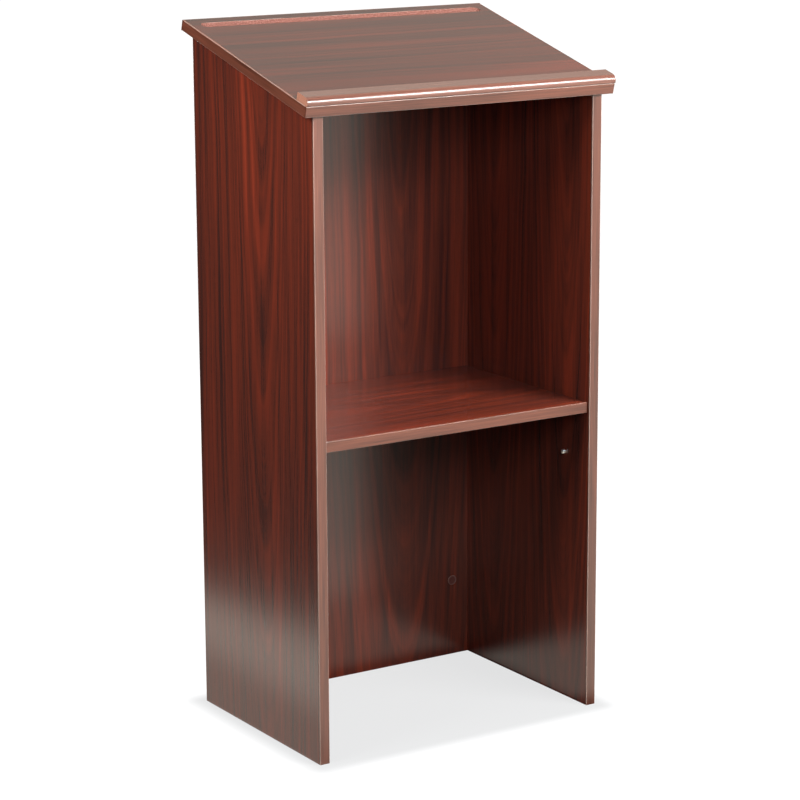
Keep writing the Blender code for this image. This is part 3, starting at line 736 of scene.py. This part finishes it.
def make_caps():
    """The caps on the back panel face the reader, and those under the top face each other."""
    on_back = plastic_material("cap_plastic_back", Y_AXIS)
    on_side = plastic_material("cap_plastic_side", X_AXIS)
    kinds = (
        ("cam_cap_back_", (0, -1, 0), on_back),
        ("cam_cap_top_left_", (1, 0, 0), on_side),
        ("cam_cap_top_right_", (-1, 0, 0), on_side),
    )
    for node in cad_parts:
        for start, direction, plastic in kinds:
            if node.startswith(start):
                cover = as_mesh(node + "_cover", cap_shape())
                cover.transform(place_round(node, direction))
                add_piece(node + "_cover", cover, [plastic], "carcass", node)


# The CAD nodes that stay --------------------------------------------------------------------------


def dress(node, material):
    """Gives a CAD node its material."""
    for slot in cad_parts[node].material_slots:
        slot.material = material


def dress_boards():
    # Painted light and shade: each board's brightness differs. The shelf is painted lighter, the back
    # panel darker, and the left side a little lighter than the right.
    dress("left_side_panel", laminate(
        "left_side_laminate", Y_AXIS, Z_AXIS, X_AXIS,
        heart=-0.02, repeat=0.36, apex=1.75, lean=0.055, seed=1.0, brightness=1.05, fineness=1.0,
    ))
    dress("right_side_panel", laminate(
        "right_side_laminate", Y_AXIS, Z_AXIS, X_AXIS,
        heart=-0.115, repeat=0.21, apex=1.6, lean=0.055, seed=2.0, brightness=1.0, fineness=1.0,
    ))
    dress("back_panel", laminate(
        "back_laminate", X_AXIS, Z_AXIS, Y_AXIS,
        heart=0.12, repeat=0.34, apex=1.2, lean=0.08, seed=4.0, brightness=0.85, fineness=1.0,
    ))
    dress("shelf_panel", laminate(
        "shelf_laminate", Y_AXIS, X_AXIS, Z_AXIS,
        heart=-0.02, repeat=0.4, apex=-0.9, lean=0.06, seed=6.0, brightness=1.25, fineness=0.45,
    ))


def top_laminate():
    """The top's laminate, with the bare routed core showing in the pencil groove."""
    # Painted shade: the top's brightness of 0.62 makes it darker than the other boards.
    material = laminate(
        "top_laminate", UPHILL, X_AXIS, OUTWARD,
        heart=0.5, repeat=0.5, apex=-0.9, lean=0.06, seed=8.0, brightness=0.62, fineness=0.45,
    )
    tree = material.node_tree
    shader = tree.nodes["Principled BSDF"]
    surface = on_slope(0, 0, BOARD).dot(OUTWARD)
    depth = calc(tree, "SUBTRACT", surface, coordinate(tree, OUTWARD))
    upper_half = calc(tree, "LESS_THAN", depth, BOARD / 2)
    routed = calc(tree, "MULTIPLY", calc(tree, "GREATER_THAN", depth, PRINT_DEPTH), upper_half)
    specks = speckle(tree, (500, 0, 0), UPHILL * 500, 13.0, detail=4, roughness=0.75)
    stops = ((0.32, (0.085, 0.026, 0.018)), (0.50, (0.21, 0.080, 0.058)), (0.66, (0.38, 0.19, 0.15)))
    printed = shader.inputs["Base Color"].links[0].from_socket
    sheen = shader.inputs["Roughness"].links[0].from_socket
    feed(
        tree, shader,
        Base_Color=blend(tree, routed, printed, ramp(tree, specks, stops)),
        Roughness=calc(tree, "MAXIMUM", sheen, calc(tree, "MULTIPLY", routed, CORE_ROUGHNESS)),
        Specular_IOR_Level=calc(tree, "MULTIPLY_ADD", routed, CORE_GLOSS - PRINT_GLOSS, PRINT_GLOSS),
    )
    return material


def dress_hardware():
    zinc = metal_material("cast_zinc", (0.52, 0.52, 0.54), 0.40, 900)
    steel = metal_material("plated_steel", (0.66, 0.65, 0.60), 0.28, 700)
    beech = dowel_material()
    kinds = {"cam_lock_": zinc, "cam_bolt_": steel, "stop_screw_": steel, "dowel_": beech}
    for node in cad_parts:
        for start, material in kinds.items():
            if node.startswith(start):
                dress(node, material)


# Studio -------------------------------------------------------------------------------------------

# The floor: how far it reaches, how far it lies under the feet, its colour, how brightly it glows inside
# the shadow painted round the feet, how brightly where it is white, and how wide the painted shadow's
# soft edge is
FLOOR_REACH = 40.0
FLOOR_DROP = 0.0002
FLOOR_COLOUR = (0.06, 0.06, 0.06, 1.0)
PAINTED_SHADOW_GLOW = 0.735
WHITE_GLOW = 1.05
PAINTED_SHADOW_WIDTH = 0.055

# How far the feet reach from the middle of the floor, which the painted shadow follows
FOOT_REACH_X = -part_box("left_side_panel")[0].x
FOOT_REACH_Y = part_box("left_side_rear_band")[1].y

# The light that comes from all round, and what the lamps point at
AMBIENT = 0.05
LIGHT_AIM = Vector((0, 0, 0.65))

WHITE = (1.0, 1.0, 1.0, 1.0)
CARD_COLOUR = (1.0, 0.97, 0.86, 1.0)


def make_floor():
    """A plain floor that fills the picture: glowing white away from the object, with a soft grey shadow
    painted round its feet.
    """
    mesh = square_mesh("floor", FLOOR_REACH)
    floor = add_object("floor", mesh)
    floor.location.z = -FLOOR_DROP
    material, tree, shader = start_material("floor_paper")
    shader.inputs["Base Color"].default_value = FLOOR_COLOUR
    shader.inputs["Roughness"].default_value = 0.9
    shader.inputs["Specular IOR Level"].default_value = 0.0
    shader.inputs["Emission Color"].default_value = WHITE
    place = add_node(tree, "SeparateXYZ", {"Vector": add_node(tree, "TexCoord").outputs["Object"]})
    squares = []
    for axis, reach in (("X", FOOT_REACH_X), ("Y", FOOT_REACH_Y)):
        beyond = calc(tree, "SUBTRACT", calc(tree, "ABSOLUTE", place.outputs[axis]), reach)
        squares.append(calc(tree, "POWER", calc(tree, "MAXIMUM", beyond, 0.0), 2.0))
    away = calc(tree, "SQRT", calc(tree, "ADD", *squares))
    # Painted shadow: the floor's glow drops to grey under and round the feet, in place of a cast shadow.
    glow_with_painted_shadow = spread(tree, away, 0.0, PAINTED_SHADOW_WIDTH, PAINTED_SHADOW_GLOW, WHITE_GLOW, "SMOOTHSTEP")
    feed(tree, shader, Emission_Strength=glow_with_painted_shadow)
    mesh.materials.append(material)
    floor.visible_glossy = False
    floor.visible_diffuse = False


def add_light(name, place, width, height, power, colour=(1.0, 1.0, 1.0), mirrored=True):
    """A rectangular lamp. One that isn't mirrored doesn't show in glossy surfaces."""
    data = bpy.data.lights.new(name, "AREA")
    data.shape = "RECTANGLE"
    data.color = colour
    data.size = width
    data.size_y = height
    data.energy = power
    lamp = add_object(name, data)
    lamp.location = place
    lamp.rotation_euler = (LIGHT_AIM - Vector(place)).to_track_quat("-Z", "Y").to_euler()
    lamp.visible_glossy = mirrored


def light_scene():
    """The lamps, where the photo's highlights and the brightness of its faces put them."""
    add_light("key", (0.90, -1.5, 1.85), 1.0, 0.55, 80)
    add_light("fill", (-0.55, -2.1, 1.6), 0.8, 0.8, 34, colour=(0.80, 1.0, 1.25))
    add_light("side", (-1.85, -0.34, 1.85), 0.8, 0.8, 45, mirrored=False)
    add_light("rear", (0.6, 2.8, 0.9), 1.2, 1.2, 55)


def make_card(name, place, normal, width, height, edge, strength, spin=0.0):
    """A reflector card, which shows only as a soft sheen in glossy surfaces. It fades out within edge of
    its sides, and spin turns it about its normal.
    """
    half = 0.5
    mesh = square_mesh(name, half)
    card = add_object(name, mesh)
    card.scale = (width, height, 1.0)
    card.location = place
    turn = Vector(normal).to_track_quat("Z", "Y").to_matrix() @ Matrix.Rotation(spin, 3, "Z")
    card.rotation_euler = turn.to_euler()
    material = bpy.data.materials.new(name)
    material.use_nodes = True
    tree = material.node_tree
    tree.nodes.clear()
    spot = add_node(tree, "SeparateXYZ", {"Vector": add_node(tree, "TexCoord").outputs["Object"]})
    shares = []
    for axis, size in (("X", width), ("Y", height)):
        inset = calc(tree, "SUBTRACT", half, calc(tree, "ABSOLUTE", spot.outputs[axis]))
        shares.append(spread(tree, inset, 0.0, edge / size, easing="SMOOTHSTEP"))
    shine = add_node(tree, "Emission", {"Color": CARD_COLOUR, "Strength": strength})
    clear = add_node(tree, "BsdfTransparent")
    share = calc(tree, "MULTIPLY", *shares)
    mixed = add_node(tree, "MixShader", {0: share, 1: clear.outputs[0], 2: shine.outputs[0]})
    add_node(tree, "OutputMaterial", {"Surface": mixed.outputs[0]})
    mesh.materials.append(material)
    card.visible_camera = False
    card.visible_diffuse = False
    card.visible_shadow = False


def make_cards():
    """The pale surroundings that the photo's glossy boards mirror: floor, wall, ceiling and a window."""
    make_card("floor_sheen_left", (-0.335, 0.60, 0.001), Z_AXIS, 0.56, 2.4, 0.05, 1.9, spin=radians(-11))
    make_card("floor_sheen_foot", (-0.315, 0.55, 0.002), Z_AXIS, 0.33, 2.4, 0.12, 0.98)
    make_card("floor_sheen_inside", (0.03, -0.01, 0.003), Z_AXIS, 0.54, 0.37, 0.08, 0.8)
    make_card("floor_sheen_front", (1.7, -2.75, 0.001), Z_AXIS, 4.2, 5.1, 0.05, 2.2)
    make_card("wall_sheen_front", (2.2, -5.2, 1.5), Y_AXIS, 6.0, 3.2, 0.5, 3.0)
    make_card("ceiling_card", (1.5, 1.7, 2.9), (-0.5, -0.6, -0.8), 3.4, 3.4, 0.6, 0.77)
    make_card("arris_card", (-0.9, 1.5, 2.7), (0.4, -0.5, -0.7), 0.9, 0.9, 0.2, 3.0)


def make_world():
    """White all round for the camera, and a faint even grey for everything else."""
    world = bpy.data.worlds.new("studio")
    bpy.context.scene.world = world
    world.use_nodes = True
    tree = world.node_tree
    tree.nodes.clear()
    around = add_node(tree, "Background", {"Color": WHITE, "Strength": AMBIENT})
    backdrop = add_node(tree, "Background", {"Color": WHITE, "Strength": WHITE_GLOW})
    seen = add_node(tree, "LightPath").outputs["Is Camera Ray"]
    both = add_node(tree, "MixShader", {0: seen, 1: around.outputs[0], 2: backdrop.outputs[0]})
    add_node(tree, "OutputWorld", {"Surface": both.outputs[0]})


def make_camera():
    data = bpy.data.cameras.new("camera")
    data.lens = CAMERA_LENS
    camera = add_object("camera", data)
    turn = Matrix.Rotation(CAMERA_YAW, 4, "Z") @ Matrix.Rotation(pi / 2 + CAMERA_PITCH, 4, "X")
    turn = turn @ Matrix.Rotation(CAMERA_ROLL, 4, "Z")
    turn.translation = CAMERA_PLACE
    camera.matrix_world = turn
    bpy.context.scene.camera = camera


bpy.context.scene.view_settings.view_transform = "Standard"
make_camera()
make_world()
make_floor()
light_scene()
make_cards()
make_side_bands()
make_top_bands()
make_shelf_band()
make_paper_stop()
make_top_board()
make_pins()
make_caps()
dress_boards()
dress_hardware()
